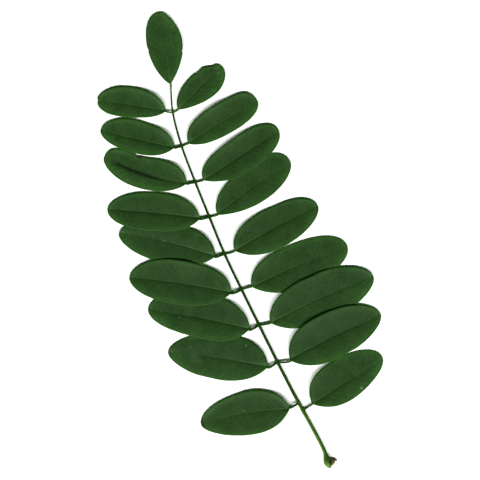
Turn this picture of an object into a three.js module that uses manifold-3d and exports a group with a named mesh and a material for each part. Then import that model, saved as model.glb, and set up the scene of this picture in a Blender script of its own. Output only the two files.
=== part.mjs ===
// Black locust leaf: one pinnate leaf, picked and lying on a surface with its upper side up.
// Millimetres, +Y from the petiole's foot to the tip leaflet, +Z up, the surface at z = 0,
// origin under the middle of the leaf's outline.
import * as THREE from 'three';
import { mergeVertices } from 'three/addons/utils/BufferGeometryUtils.js';
import Module from 'manifold-3d';

// Blades
const BLADE_THICKNESS = 0.65;
const LENGTH_STEPS = 12;
const ACROSS = [-1, -0.7, -0.35, 0, 0.35, 0.7, 1];
// The outline is a rounded base times a rounder tip, through three half widths
const STATIONS = [0.15, 0.5, 0.85];
const BASE_POWER = 0.65;
const TIP_POWER = 0.5;
const BLUNT_HALF_WIDTH = 0.4;
// Each half rises from the midrib over this distance, like a shallow gull wing
const RISE_DISTANCE = 4;
const MARGIN_WAVE = 0.15;
const WAVES_PER_BLADE = 2.4;
const PHASE_STEP = 0.37;

// The leaf touches the surface at three low spots round its weight, each flat out to REST_RADIUS,
// and stands SURFACE_GAP clear of it elsewhere. Spots are in mm from the foot's end.
const SURFACE_GAP = 0.08;
const REST_RADIUS = 4;
const REST_SPOTS = [[27, 85.6], [-29.6, 65.2], [-41.2, 158.8]];

// Stalk: the rachis tapers from the petiole to the tip leaflet and lies on the surface
const PETIOLE_RADIUS = 0.75;
const TIP_RADIUS = 0.3;
const RACHIS_LENGTH = 186.6;
const STALK_SIDES = 8;
const STALK_STEP = 7;

// Foot: the swollen end of the petiole, torn off the twig, with the hollow that covered the bud
const FOOT_RADIUS = 1.75;
const FOOT_TOP = 7.5;
const FOOT_LIFT = 1.0;
const FOOT_LIFT_DISTANCE = 8;
const HOLLOW_RADIUS = 1.15;
const HOLLOW_CENTRE = new THREE.Vector3(1.35, 1.7, 2.5);
const FLAP_ROOT = new THREE.Vector3(0.9, 2.9, 2.0);
const FLAP_TIP = new THREE.Vector3(3.8, 1.9, 2.6);
const FLAP_ROOT_RADIUS = 0.7;
const FLAP_TIP_RADIUS = 0.3;

// Leaflet stalks
const PETIOLULE_RADIUS = 0.55;
const PETIOLULE_SIDES = 6;
const PETIOLULE_ROOT = 2.4;

// Where the foot's end stands in the part's frame, so that the outline is centred on the origin
const FOOT_END = new THREE.Vector2(4.3, -109.6);

const LEAF_COLOUR = 0x2f5428;
const LEAF_ROUGHNESS = 0.55;

// The stalk's line, from the foot's end to the tip leaflet
const SPINE = new THREE.CatmullRomCurve3(
  [
    [0, 0], [0.1, 5.7], [-0.3, 13], [-2.9, 30.5], [-6.1, 52.5], [-8.1, 71], [-10.2, 88.7],
    [-12, 106.4], [-12.8, 124.3], [-13.4, 141.1], [-13.4, 158.4], [-12.1, 173.9], [-8.7, 186.6],
  ].map(([x, y]) => new THREE.Vector3(x, y, 0)),
  false, 'catmullrom', 0.5,
);
const SPINE_POINTS = SPINE.getPoints(400);

// Sides of the stalk. The distal half of a leaflet is the one towards the leaf's tip.
const LEFT = 1;
const RIGHT = -1;

// One row for each leaflet, sizes in mm from the foot's end. node is where its stalk leaves the
// rachis, heading its turn from the leaf's axis in degrees, distal and proximal its half widths at
// STATIONS, bow the midrib's sideways bend, height the midrib's height at base, middle and tip,
// and rise how far the distal and proximal margins stand above the midrib.
const LEAFLETS = [
  { side: RIGHT, node: 183.4, base: [-8.7, 186.6], heading: -12, length: 33,
    distal: [3.7, 7.5, 6.5], proximal: [3.8, 8.2, 5.5], bow: 0, height: [0.9, 0.6, 0.5], rise: [0.5, 0.5] },
  { side: LEFT, node: 173.9, base: [-14.7, 176.1], heading: 62, length: 31.4,
    distal: [5.9, 8.7, 6.5], proximal: [3.4, 5.4, 4.7], bow: 0.2, height: [1.5, 0.5, 0.4], rise: [0.7, 0.3] },
  { side: LEFT, node: 158.4, base: [-16.7, 159.3], heading: 57.5, length: 34.1,
    distal: [6, 8.5, 6.7], proximal: [4.6, 7.1, 4.5], bow: -0.3, height: [1.6, 0.9, 0.9], rise: [0.4, 0.8] },
  { side: LEFT, node: 141.1, base: [-16.9, 142.4], heading: 53, length: 39.1,
    distal: [5.7, 6.5, 6], proximal: [5.5, 8.8, 6], bow: -2, height: [1.7, 0.3, 0.3], rise: [0.4, 0.8] },
  { side: LEFT, node: 124.3, base: [-16.8, 125.6], heading: 65, length: 41.8,
    distal: [7.3, 9.9, 7], proximal: [5, 7.7, 5.9], bow: 0.3, height: [1.8, 0.8, 0.6], rise: [0.4, 0.9] },
  { side: LEFT, node: 106.4, base: [-16.1, 107.1], heading: 56.5, length: 44.6,
    distal: [7.8, 9.3, 6.2], proximal: [5.7, 8.7, 6], bow: 0.9, height: [1.9, 0.3, 0.4], rise: [0.1, 0.1] },
  { side: LEFT, node: 88.7, base: [-14.9, 89.2], heading: 62, length: 46.4,
    distal: [8.5, 10.6, 8], proximal: [5.9, 9.7, 6.5], bow: 0.7, height: [2.1, 1.3, 0.8], rise: [0.8, 0.6] },
  { side: LEFT, node: 71, base: [-12.9, 71], heading: 59, length: 46.6,
    distal: [8.9, 11.5, 8.1], proximal: [5.6, 9.4, 6], bow: 0.5, height: [2, 0.4, 0.4], rise: [0.1, 1.1] },
  { side: LEFT, node: 52.5, base: [-10.9, 52.3], heading: 62.3, length: 45.2,
    distal: [9.2, 12.1, 7.9], proximal: [6.1, 9.2, 5.8], bow: 0.7, height: [2, 0.3, 0.3], rise: [0, 0.6] },
  { side: LEFT, node: 32, base: [-9, 31.3], heading: 80, length: 39.8,
    distal: [9.6, 11.1, 7.1], proximal: [6.4, 8.7, 5.2], bow: 1.2, height: [2, 0.3, 0.3], rise: [0.8, 0.5] },
  { side: RIGHT, node: 173.9, base: [-9.4, 174.6], heading: -66, length: 27.8,
    distal: [4.2, 6.7, 4.7], proximal: [2.9, 6.6, 5.4], bow: 0.2, height: [1.5, 0.5, 0.5], rise: [0.6, 0.4] },
  { side: RIGHT, node: 158.4, base: [-10.4, 158.9], heading: -79.3, length: 36.6,
    distal: [6.5, 8.9, 8.2], proximal: [3.8, 6, 4.6], bow: 0.4, height: [1.6, 0.4, 0.4], rise: [0.7, 0.4] },
  { side: RIGHT, node: 141.1, base: [-9.7, 141], heading: -77.3, length: 40.8,
    distal: [6.2, 8.7, 7.9], proximal: [4.7, 8.1, 5.9], bow: 0, height: [1.7, 0.7, 0.6], rise: [0.5, 0.9] },
  { side: RIGHT, node: 124.3, base: [-9.1, 124.5], heading: -74.5, length: 40.6,
    distal: [6.7, 10.2, 9], proximal: [4.1, 7.6, 5.4], bow: 0.5, height: [1.8, 0.3, 0.3], rise: [0, 0.5] },
  { side: RIGHT, node: 106.4, base: [-7.3, 106.3], heading: -81.8, length: 42.4,
    distal: [7.6, 9.7, 7.7], proximal: [5.7, 9.2, 6.2], bow: 0.6, height: [1.9, 0.5, 0.4], rise: [0.7, 0.9] },
  { side: RIGHT, node: 88.7, base: [-5.6, 88.5], heading: -87, length: 47,
    distal: [8.3, 10.5, 7.5], proximal: [6.1, 9.9, 7.3], bow: 0.6, height: [1.9, 0.3, 0.3], rise: [0.1, 0] },
  { side: RIGHT, node: 71, base: [-3.3, 70.4], heading: -86, length: 50.8,
    distal: [8.8, 12.4, 8.8], proximal: [6.1, 9.9, 7], bow: 0.8, height: [2, 0.6, 0.4], rise: [1, 0] },
  { side: RIGHT, node: 52.5, base: [-0.6, 52.2], heading: -84.5, length: 45.5,
    distal: [9.1, 12.3, 8.9], proximal: [6.8, 9.6, 5.9], bow: 0.5, height: [2.1, 0.7, 0.4], rise: [1, 0.7] },
  { side: RIGHT, node: 29, base: [2, 29.7], heading: -76.4, length: 37.8,
    distal: [8.8, 10.8, 7.4], proximal: [5.5, 8.6, 5.4], bow: -0.3, height: [2, 0.4, 0.3], rise: [0.1, 0.6] },
];

const wasm = await Module();
wasm.setup();

// Closed skin through rings of points, with a flat lid on each end. Every side face is split the
// same way, so the upper and lower sides of a blade stay apart.
function loft(rings) {
  const count = rings[0].length;
  const positions = rings.flat();
  const index = [];
  for (let i = 0; i + 1 < rings.length; i++) {
    for (let j = 0; j < count; j++) {
      const a = i * count + j;
      const b = i * count + ((j + 1) % count);
      index.push(a, b, a + count, b, b + count, a + count);
    }
  }
  const centre = (ring) => ring.reduce((sum, p) => sum.add(p), new THREE.Vector3()).divideScalar(count);
  positions.push(centre(rings[0]), centre(rings.at(-1)));
  const first = positions.length - 2;
  const last = (rings.length - 1) * count;
  for (let j = 0; j < count; j++) {
    const next = (j + 1) % count;
    index.push(first, next, j, first + 1, last + j, last + next);
  }
  const geometry = new THREE.BufferGeometry().setFromPoints(positions);
  geometry.setIndex(index);
  return geometry;
}

// Tube of changing radius: stations are { point, radius }, in order along the tube
function taperedTube(stations, sides) {
  const up = new THREE.Vector3(0, 0, 1);
  const rings = stations.map(({ point, radius }, i) => {
    const before = stations[Math.max(i - 1, 0)].point;
    const after = stations[Math.min(i + 1, stations.length - 1)].point;
    const along = after.clone().sub(before).normalize();
    const across = new THREE.Vector3().crossVectors(along, up).normalize();
    const over = new THREE.Vector3().crossVectors(across, along);
    return Array.from({ length: sides }, (_, j) => {
      const angle = (-2 * Math.PI * (j + 0.5)) / sides;
      return point.clone()
        .addScaledVector(across, radius * Math.cos(angle))
        .addScaledVector(over, radius * Math.sin(angle));
    });
  });
  return loft(rings);
}

function solid(geometry) {
  const bare = geometry.clone();
  bare.deleteAttribute('normal');
  bare.deleteAttribute('uv');
  const merged = mergeVertices(bare, 1e-4);
  return new wasm.Manifold(new wasm.Mesh({
    numProp: 3,
    vertProperties: new Float32Array(merged.attributes.position.array),
    triVerts: new Uint32Array(merged.index.array),
  }));
}

function geometryOf(manifold) {
  const { vertProperties, triVerts } = manifold.getMesh();
  const geometry = new THREE.BufferGeometry();
  geometry.setAttribute('position', new THREE.BufferAttribute(new Float32Array(vertProperties), 3));
  geometry.setIndex(new THREE.BufferAttribute(new Uint32Array(triVerts), 1));
  geometry.computeVertexNormals();
  return geometry;
}

function stalkRadius(y) {
  return THREE.MathUtils.mapLinear(y, 0, RACHIS_LENGTH, PETIOLE_RADIUS, TIP_RADIUS);
}

// Middle of the stalk at a distance from the foot's end
function stalkPoint(y) {
  const beyond = SPINE_POINTS.findIndex((p) => p.y >= y);
  const i = beyond < 0 ? SPINE_POINTS.length - 1 : Math.max(beyond, 1);
  const [a, b] = [SPINE_POINTS[i - 1], SPINE_POINTS[i]];
  const x = THREE.MathUtils.mapLinear(y, a.y, b.y, a.x, b.x);
  const lift = FOOT_LIFT * Math.exp(-y / FOOT_LIFT_DISTANCE);
  return new THREE.Vector3(x, y, stalkRadius(y) + SURFACE_GAP + lift);
}

function rachis() {
  const steps = Math.round((RACHIS_LENGTH - FOOT_TOP) / STALK_STEP);
  const stations = [];
  for (let i = -1; i <= steps; i++) {
    const y = THREE.MathUtils.lerp(FOOT_TOP, RACHIS_LENGTH, i / steps);
    stations.push({ point: stalkPoint(y), radius: stalkRadius(y) });
  }
  return taperedTube(stations, STALK_SIDES);
}

// The foot swells like an egg from the petiole and closes at its end
function foot() {
  const outline = [
    [-0.4, 0.45], [0.1, 1.05], [0.9, 1.5], [2, FOOT_RADIUS], [3.2, 1.65], [4.4, 1.3], [5.6, 0.98],
    [FOOT_TOP, 0.78],
  ];
  const stations = outline.map(([y, radius]) => {
    const point = stalkPoint(Math.max(y, 0));
    point.y = y;
    point.z = Math.max(point.z, radius);
    return { point, radius };
  });
  return taperedTube(stations, STALK_SIDES);
}

function flap() {
  const stations = [
    { point: FLAP_ROOT, radius: FLAP_ROOT_RADIUS },
    { point: FLAP_TIP, radius: FLAP_TIP_RADIUS },
  ];
  return taperedTube(stations, 5);
}

function hollow() {
  return new THREE.SphereGeometry(HOLLOW_RADIUS, 10, 8)
    .scale(1.2, 1, 1)
    .translate(HOLLOW_CENTRE.x, HOLLOW_CENTRE.y, HOLLOW_CENTRE.z);
}

// Half width at t along the blade: t to BASE_POWER times (1 - t) to TIP_POWER times the parabola
// that makes it pass through the three stated half widths
function halfWidth(t, widths) {
  const envelope = (s) => s ** BASE_POWER * (1 - s) ** TIP_POWER;
  const [a, b, c] = STATIONS;
  const [p, q, r] = STATIONS.map((s, i) => widths[i] / envelope(s));
  const parabola = (p * (t - b) * (t - c)) / ((a - b) * (a - c))
    + (q * (t - a) * (t - c)) / ((b - a) * (b - c))
    + (r * (t - a) * (t - b)) / ((c - a) * (c - b));
  return Math.max(envelope(t) * parabola, BLUNT_HALF_WIDTH);
}

// Midrib height at t: the parabola through its heights at base, middle and tip
function midribHeight(t, [base, middle, tip]) {
  return base * (1 - t) * (1 - 2 * t) + middle * 4 * t * (1 - t) + tip * t * (2 * t - 1);
}

// Unit directions of a leaflet: along its midrib, and towards its distal margin
function directions({ heading, side }) {
  const angle = THREE.MathUtils.degToRad(heading);
  const along = new THREE.Vector3(-Math.sin(angle), Math.cos(angle), 0);
  return { along, distalWay: new THREE.Vector3(along.y * side, -along.x * side, 0) };
}

// Middle of the blade's thickness at t along it and v across, from -1 at the proximal margin
// through 0 on the midrib to 1 at the distal margin
function bladePoint(leaflet, t, v, phase) {
  const { along, distalWay } = directions(leaflet);
  const rib = leaflet.bow * 4 * t * (1 - t);
  const margin = v < 0
    ? halfWidth(t, leaflet.proximal) + rib
    : halfWidth(t, leaflet.distal) - rib;
  const fromRib = Math.abs(v) * Math.max(margin, BLUNT_HALF_WIDTH);
  const rise = leaflet.rise[v < 0 ? 1 : 0] * (1 - Math.exp(-fromRib / RISE_DISTANCE));
  const wave = MARGIN_WAVE * v * v * Math.sin(2 * Math.PI * (WAVES_PER_BLADE * t + phase));
  return new THREE.Vector3(leaflet.base[0], leaflet.base[1], 0)
    .addScaledVector(along, leaflet.length * t)
    .addScaledVector(distalWay, rib + Math.sign(v) * fromRib)
    .setZ(midribHeight(t, leaflet.height) + rise + wave);
}

// Lowest that the leaf's underside reaches at a place: the surface on a low spot, rising evenly
// over another REST_RADIUS to SURFACE_GAP
function lowest({ x, y }) {
  const away = Math.min(...REST_SPOTS.map(([spotX, spotY]) => Math.hypot(x - spotX, y - spotY)));
  return SURFACE_GAP * THREE.MathUtils.clamp(away / REST_RADIUS - 1, 0, 1);
}

// A blade is a thin skin that lies flat wherever its underside would meet the surface
function blade(leaflet, phase) {
  const rings = [];
  for (let i = 0; i <= LENGTH_STEPS; i++) {
    const t = (1 - Math.cos((Math.PI * i) / LENGTH_STEPS)) / 2;
    const under = ACROSS.map((v) => {
      const p = bladePoint(leaflet, t, v, phase);
      return p.setZ(Math.max(p.z - BLADE_THICKNESS / 2, lowest(p)));
    });
    const upper = under.map((p) => p.clone().setZ(p.z + BLADE_THICKNESS)).reverse();
    const ring = [...under, ...upper];
    rings.push(leaflet.side === LEFT ? ring.reverse() : ring);
  }
  return loft(rings);
}

// A leaflet's stalk, from inside the rachis to well inside the blade's base
function petiolule(leaflet) {
  const start = stalkPoint(leaflet.node);
  const end = new THREE.Vector3(leaflet.base[0], leaflet.base[1], leaflet.height[0]);
  const inBlade = bladePoint(leaflet, PETIOLULE_ROOT / leaflet.length, 0, 0);
  const stations = [
    { point: start, radius: Math.min(PETIOLULE_RADIUS, stalkRadius(leaflet.node)) },
    { point: start.clone().lerp(end, 0.5), radius: PETIOLULE_RADIUS },
    { point: end, radius: PETIOLULE_RADIUS },
    { point: inBlade, radius: 0.3 },
  ];
  return taperedTube(stations, PETIOLULE_SIDES);
}

function leafSolid() {
  const leaflets = LEAFLETS.flatMap((leaflet, i) => [
    solid(blade(leaflet, (i * PHASE_STEP) % 1)),
    solid(petiolule(leaflet)),
  ]);
  const tornFoot = solid(foot()).add(solid(flap())).subtract(solid(hollow()));
  return leaflets.reduce((sum, piece) => sum.add(piece), solid(rachis()).add(tornFoot));
}

const leaf = new THREE.Mesh(
  geometryOf(leafSolid()),
  new THREE.MeshStandardMaterial({ color: LEAF_COLOUR, roughness: LEAF_ROUGHNESS, metalness: 0 }),
);
leaf.name = 'leaf';
leaf.position.set(FOOT_END.x, FOOT_END.y, 0);

const blackLocustLeaf = new THREE.Group();
blackLocustLeaf.add(leaf);

export default blackLocustLeaf;
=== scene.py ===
"""Black locust leaf, dressed for the picture.

One pinnate leaf lies flat with its upper side up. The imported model's one node gives its place and
form, and the pieces made here stand for it: the stalk with its torn foot, the blades, and the small
stalks that carry them. Sizes are in millimetres from the end of the leaf's foot, with y towards the
tip leaflet, until a mesh is made. A mesh is in metres, in the model's frame.
"""

import logging
import math
from dataclasses import dataclass, field
from enum import Enum

import bpy
import numpy as np
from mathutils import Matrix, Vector
from numpy.typing import NDArray


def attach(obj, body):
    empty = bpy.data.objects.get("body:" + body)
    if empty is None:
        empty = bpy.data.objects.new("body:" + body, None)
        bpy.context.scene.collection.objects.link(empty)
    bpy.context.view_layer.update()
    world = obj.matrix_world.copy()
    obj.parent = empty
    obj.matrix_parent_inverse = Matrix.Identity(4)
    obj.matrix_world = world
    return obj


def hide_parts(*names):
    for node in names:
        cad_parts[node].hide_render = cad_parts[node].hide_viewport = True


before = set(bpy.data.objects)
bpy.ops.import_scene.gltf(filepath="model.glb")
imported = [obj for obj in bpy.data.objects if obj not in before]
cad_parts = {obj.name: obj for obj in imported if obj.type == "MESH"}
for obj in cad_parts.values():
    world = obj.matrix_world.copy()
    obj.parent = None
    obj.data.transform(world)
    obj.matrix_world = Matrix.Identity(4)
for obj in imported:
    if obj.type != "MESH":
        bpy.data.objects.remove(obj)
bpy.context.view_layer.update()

Array = NDArray[np.float64]
log = logging.getLogger("black_locust_leaf")

MM = 0.001
BODY = "root"
NODE = "leaf"

# Where the foot's end stands in the model's frame
FOOT_END = np.array([4.3, -109.6, 0.0])

# The leaf touches the surface at three low spots and stands a little clear of it elsewhere
SURFACE_GAP = 0.08
REST_RADIUS = 4.0
REST_SPOTS = np.array([[27.0, 85.6], [-29.6, 65.2], [-41.2, 158.8]])

# Least height of a stalk's under side
STALK_GAP = 0.02

# Stations along a blade, as shares of its length, where its half widths are stated
STATIONS = np.array([0.1, 0.35, 0.65, 0.9])

# Socket numbers of Blender's Mix node when it mixes colours
MIX_FACTOR, MIX_A, MIX_B, MIX_COLOUR = 0, 6, 7, 2

# Number of the Attribute node's output that holds a plain number
ATTRIBUTE_VALUE = 2

# Refractive index of plant cuticle
TISSUE_IOR = 1.45


class Side(Enum):
    """Side of the stalk that a leaflet grows on, seen from above. The tip leaflet counts as right."""

    LEFT = 1
    RIGHT = -1


class Half(Enum):
    """Half of a blade: towards the leaf's tip or towards its foot."""

    DISTAL = 1
    PROXIMAL = -1


# Powers of the way from a blade's base and from its tip that shape the ends of its margins
POWERS = {Half.DISTAL: (0.6, 0.5), Half.PROXIMAL: (0.9, 0.45)}


class Slot(Enum):
    """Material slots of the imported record."""

    BLADE = "leaf_blade"
    STALK = "leaf_stalk"
    TORN = "torn_tissue"


def linear(hex_colour: str) -> tuple[float, float, float, float]:
    """Turns an sRGB colour into Blender's linear one.

    Args:
        hex_colour: Colour as "#rrggbb".

    Returns:
        Red, green, blue and an alpha of 1.
    """
    shares = [int(hex_colour[i : i + 2], 16) / 255 for i in (1, 3, 5)]
    turned = [s / 12.92 if s <= 0.04045 else ((s + 0.055) / 1.055) ** 2.4 for s in shares]
    return (*turned, 1.0)


def per_metre(size_mm: float) -> float:
    """Scale of a pattern on Object coordinates whose cells are size_mm across."""
    return 1.0 / (size_mm * MM)


def add_node(
    tree: bpy.types.NodeTree,
    kind: str,
    inputs: dict[str | int, object] | None = None,
    out: str | int = 0,
    **settings: object,
) -> bpy.types.NodeSocket | None:
    """Adds one node with its settings and its inputs.

    Args:
        tree: Node tree that gets the node.
        kind: The node's type name.
        inputs: For each input's name or number, the value that it holds or the socket that feeds it.
        out: Name or number of the output that is handed back.
        **settings: Properties of the node.

    Returns:
        The chosen output socket, or None for a node that has no output.
    """
    node = tree.nodes.new(kind)
    for name, value in settings.items():
        setattr(node, name, value)
    for key, value in (inputs or {}).items():
        if isinstance(value, bpy.types.NodeSocket):
            tree.links.new(value, node.inputs[key])
        else:
            node.inputs[key].default_value = value
    return node.outputs[out] if len(node.outputs) else None


def blank_material(
    title: str, *numbers: str
) -> tuple[
    bpy.types.Material, bpy.types.NodeTree, bpy.types.NodeSocket, dict[str, bpy.types.NodeSocket]
]:
    """Starts a material that reads Object coordinates and the mesh's own numbers.

    Args:
        title: The material's name.
        *numbers: Names of the mesh's numbers that it reads.

    Returns:
        The material, its node tree, the coordinates' socket and each number's socket.
    """
    material = bpy.data.materials.new(title)
    material.use_nodes = True
    tree = material.node_tree
    tree.nodes.clear()
    place = add_node(tree, "ShaderNodeTexCoord", out="Object")
    read = {
        name: add_node(tree, "ShaderNodeAttribute", out=ATTRIBUTE_VALUE, attribute_name=name)
        for name in numbers
    }
    return material, tree, place, read


def complete(
    tree: bpy.types.NodeTree,
    colour: object,
    layers: list[tuple[bpy.types.NodeSocket, object]],
    bump: dict[str, object],
    surface: dict[str, object],
    inward: bool = False,
) -> None:
    """Lays colours over a base colour, one over another, and gives the result its shader.

    Args:
        tree: The material's node tree.
        colour: The base colour, or the socket that gives it.
        layers: For each layer, the socket of its share, and its colour or colour's socket.
        bump: The Bump node's inputs.
        surface: The shader's inputs, apart from colour and normal.
        inward: True where a greater height of the bump lies deeper.
    """
    for share, layer in layers:
        colour = add_node(
            tree, "ShaderNodeMix", {MIX_FACTOR: share, MIX_A: colour, MIX_B: layer},
            out=MIX_COLOUR, data_type="RGBA",
        )
    normal = add_node(tree, "ShaderNodeBump", bump, invert=inward)
    shader = add_node(
        tree, "ShaderNodeBsdfPrincipled", {"Base Color": colour, "Normal": normal, **surface}
    )
    add_node(tree, "ShaderNodeOutputMaterial", {"Surface": shader})


def vein_distances(
    tree: bpy.types.NodeTree,
    place: bpy.types.NodeSocket,
    read: dict[str, bpy.types.NodeSocket],
    areole_mm: float,
) -> dict[str, bpy.types.NodeSocket]:
    """Finds how far a point of a blade lies from its net veins, side veins and midrib.

    The side veins' number is whole on a vein, so its distance to a whole number is the one to a vein.

    Args:
        tree: The material's node tree.
        place: Socket of the Object coordinates.
        read: Sockets of the blade's numbers.
        areole_mm: Size of the net's meshes.

    Returns:
        The socket of each distance.
    """
    return {
        "net": add_node(
            tree, "ShaderNodeTexVoronoi",
            {"Vector": place, "Scale": per_metre(areole_mm), "Randomness": 0.9},
            feature="DISTANCE_TO_EDGE",
        ),
        "vein": add_node(tree, "ShaderNodeMath", {0: read["vein"], 1: 0.5}, operation="PINGPONG"),
        "rib": add_node(tree, "ShaderNodeMath", {0: read["across"]}, operation="ABSOLUTE"),
    }


def smooth_step(low: float, high: float, x: Array) -> Array:
    """Rises from 0 at low to 1 at high: 3s squared less 2s cubed, at the share s of the way."""
    s = np.clip((x - low) / (high - low), 0.0, 1.0)
    return s * s * (3 - 2 * s)


def bell(x: Array, width: float) -> Array:
    """Bell curve: 1 at 0, and exp(-1) at the width on either side."""
    return np.exp(-((x / width) ** 2))


def parabola(heights: tuple[float, ...], t: float | Array) -> float | Array:
    """Parabola through heights at 0, 1/2 and 1, at the share t."""
    a, b, c = heights
    return a * (1 - t) * (1 - 2 * t) + b * 4 * t * (1 - t) + c * t * (2 * t - 1)


def smooth_path(stops: Array, samples: int) -> Array:
    """Runs a smooth curve through stops, evenly in the stops' order.

    Between two stops the curve is the cubic that passes through both, with a slope at each stop of
    half the way from the stop before to the stop after. Past the ends a stop is mirrored.

    Args:
        stops: Points that the curve passes through, one a row.
        samples: Number of points on the curve.

    Returns:
        Points on the curve, one a row.
    """
    padded = np.vstack([2 * stops[0] - stops[1], stops, 2 * stops[-1] - stops[-2]])
    where = np.linspace(0, len(stops) - 1, samples)
    i = np.minimum(where.astype(int), len(stops) - 2)
    s = (where - i)[:, None]
    p0, p1, p2, p3 = (padded[i + k] for k in range(4))
    slope1, slope2 = (p2 - p0) / 2, (p3 - p1) / 2
    return (
        p1 * (2 * s**3 - 3 * s**2 + 1)
        + slope1 * (s**3 - 2 * s**2 + s)
        + p2 * (3 * s**2 - 2 * s**3)
        + slope2 * (s**3 - s**2)
    )


@dataclass
class Skin:
    """A closed surface: rings of points one after another, with a pole past the first and the last.

    Attributes:
        rings: Points in mm from the foot's end, as (ring, place round it, xyz).
        poles: The two end points, as (2, xyz).
        values: Named numbers at the points, as (ring, place round it) or one for a whole row.
        second: True for each place round the rings whose faces take the second finish.
    """

    rings: Array
    poles: Array
    values: dict[str, Array | float] = field(default_factory=dict)
    second: NDArray[np.bool_] | None = None

    def points(self) -> Array:
        """Every point in metres in the model's frame, ring after ring, with the poles last."""
        return (np.vstack([self.rings.reshape(-1, 3), self.poles]) + FOOT_END) * MM

    def faces(self) -> tuple[NDArray[np.int64], NDArray[np.int64]]:
        """Joins each ring to the next by four-sided faces, and each end ring to its pole by a fan.

        The faces are turned so that the volume they enclose, a sixth of the sum of each triangle's
        corners' triple product, comes out positive.

        Returns:
            The four-sided faces and the triangles, as point numbers.
        """
        count, around = self.rings.shape[:2]
        ring, place = np.meshgrid(np.arange(count - 1), np.arange(around), indexing="ij")
        here, there = ring * around + place, ring * around + (place + 1) % around
        quads = np.stack([here, there, there + around, here + around], axis=-1).reshape(-1, 4)
        place = np.arange(around)
        after = (place + 1) % around
        last = (count - 1) * around
        pole = np.full(around, count * around)
        first_fan = np.stack([pole, after, place], axis=-1)
        last_fan = np.stack([pole + 1, last + place, last + after], axis=-1)
        fans = np.vstack([first_fan, last_fan])
        thirds = np.vstack([quads[:, :3], quads[:, [0, 2, 3]], fans])
        a, b, c = (self.points()[thirds[:, k]] for k in range(3))
        if np.einsum("ij,ij->", a, np.cross(b, c)) < 0:
            return quads[:, ::-1], fans[:, ::-1]
        return quads, fans

    def numbers(self, title: str) -> Array:
        """One named number at every point, with each end ring's mean at its pole."""
        given = np.broadcast_to(self.values[title], self.rings.shape[:2])
        return np.append(given.ravel(), [given[0].mean(), given[-1].mean()])

    def finish_numbers(self) -> NDArray[np.int32]:
        """Says which finish each face takes.

        Returns:
            For each face, 0 for the first finish or 1 for the second.
        """
        count, around = self.rings.shape[:2]
        turn = np.zeros(around, bool) if self.second is None else self.second
        return np.tile(turn, count + 1).astype(np.int32)


def add_object(name: str, data: bpy.types.ID) -> bpy.types.Object:
    """Makes a Blender object of a mesh, a camera or a light, and puts it in the scene.

    Args:
        name: The object's name.
        data: The mesh, camera or light.

    Returns:
        The object, at the origin.
    """
    made = bpy.data.objects.new(name, data)
    bpy.context.scene.collection.objects.link(made)
    return made


def make_piece(
    name: str, skins: list[Skin], finishes: list[bpy.types.Material]
) -> bpy.types.Object:
    """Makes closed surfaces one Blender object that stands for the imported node.

    Args:
        name: The object's name.
        skins: Its surfaces, which hold the same named numbers.
        finishes: Its one or two materials.

    Returns:
        The object, in place.
    """
    points, faces, turns, start = [], [], [], 0
    for skin in skins:
        quads, fans = skin.faces()
        faces += (quads + start).tolist() + (fans + start).tolist()
        points.append(skin.points())
        turns.append(skin.finish_numbers())
        start += len(points[-1])
    mesh = bpy.data.meshes.new(name)
    mesh.from_pydata(np.vstack(points).tolist(), [], faces)
    mesh.polygons.foreach_set("use_smooth", np.ones(len(faces), bool))
    mesh.polygons.foreach_set("material_index", np.concatenate(turns))
    for title in skins[0].values:
        numbers = np.concatenate([skin.numbers(title) for skin in skins])
        data = mesh.attributes.new(title, "FLOAT", "POINT").data
        data.foreach_set("value", numbers.astype(np.float32))
    for finish in finishes:
        mesh.materials.append(finish)
    mesh.update()
    made = add_object(name, mesh)
    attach(made, BODY)
    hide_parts(NODE)
    log.info("%s: %d points, %d faces", name, start, len(faces))
    return made


def tube(path: Array, radii: Array, share: Array) -> tuple[Array, Array]:
    """Carries a section along a path.

    Each ring lies square to the path: a point is the path's point plus the radius and the share
    times the cosine of the turn along the level direction and the sine along the upward one.

    Args:
        path: Points of the middle line, one a row.
        radii: Radius at each point, in mm.
        share: What the radius is multiplied by, for each ring and place round it, or for each
            place round every ring.

    Returns:
        The rings, and the two end points.
    """
    along = np.gradient(path, axis=0)
    along /= np.linalg.norm(along, axis=1, keepdims=True)
    level = np.cross(along, [0.0, 0.0, 1.0])
    level /= np.linalg.norm(level, axis=1, keepdims=True)
    over = np.cross(level, along)
    turn = turns(share.shape[1])[None, :, None]
    reach = (radii[:, None] * share)[:, :, None]
    rings = path[:, None] + reach * (np.cos(turn) * level[:, None] + np.sin(turn) * over[:, None])
    ends = np.stack([path[0] - along[0] * radii[0] * 0.3, path[-1] + along[-1] * radii[-1] * 0.3])
    return rings, ends


def turns(sides: int) -> Array:
    """Angles of places evenly round a ring, from the level direction over the top."""
    return 2 * np.pi * np.arange(sides) / sides


def flatten(rings: Array, path: Array, share: float) -> None:
    """Flattens rings about their path to a share of their height, and keeps them off the floor."""
    middle = path[:, None, 2]
    rings[..., 2] = np.maximum(middle + share * (rings[..., 2] - middle), STALK_GAP)


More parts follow.
